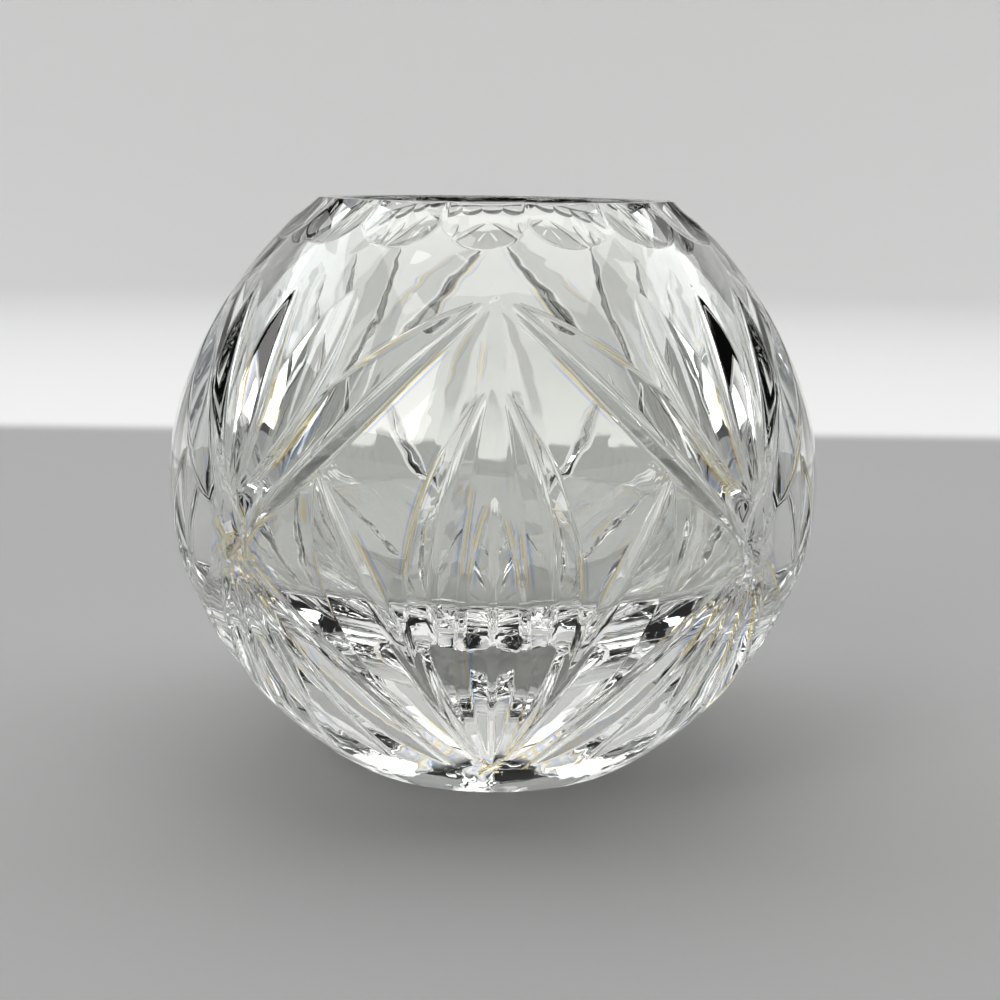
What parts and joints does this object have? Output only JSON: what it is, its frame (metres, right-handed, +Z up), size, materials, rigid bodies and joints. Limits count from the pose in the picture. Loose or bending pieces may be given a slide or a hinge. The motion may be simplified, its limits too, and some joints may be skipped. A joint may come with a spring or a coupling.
{
  "type": "rose bowl vase",
  "caption": "Cut crystal rose bowl: a thick clear ball-shaped vase with mitre-cut diamonds, leaf-cut fans, scalloped shoulder flutes and a wide open mouth.",
  "frame": {"origin": "centre of the foot ring, in the plane that the bowl stands on", "axes": "+Z up along the bowl's axis, out of the mouth; the middle of the front diamond faces -Y"},
  "size_m": [0.1598, 0.1598, 0.138],
  "materials": {
    "clear_crystal": "polished, clear"
  },
  "bodies": {
    "root": {"crystal_bowl": "clear_crystal"}
  },
  "joints": []
}
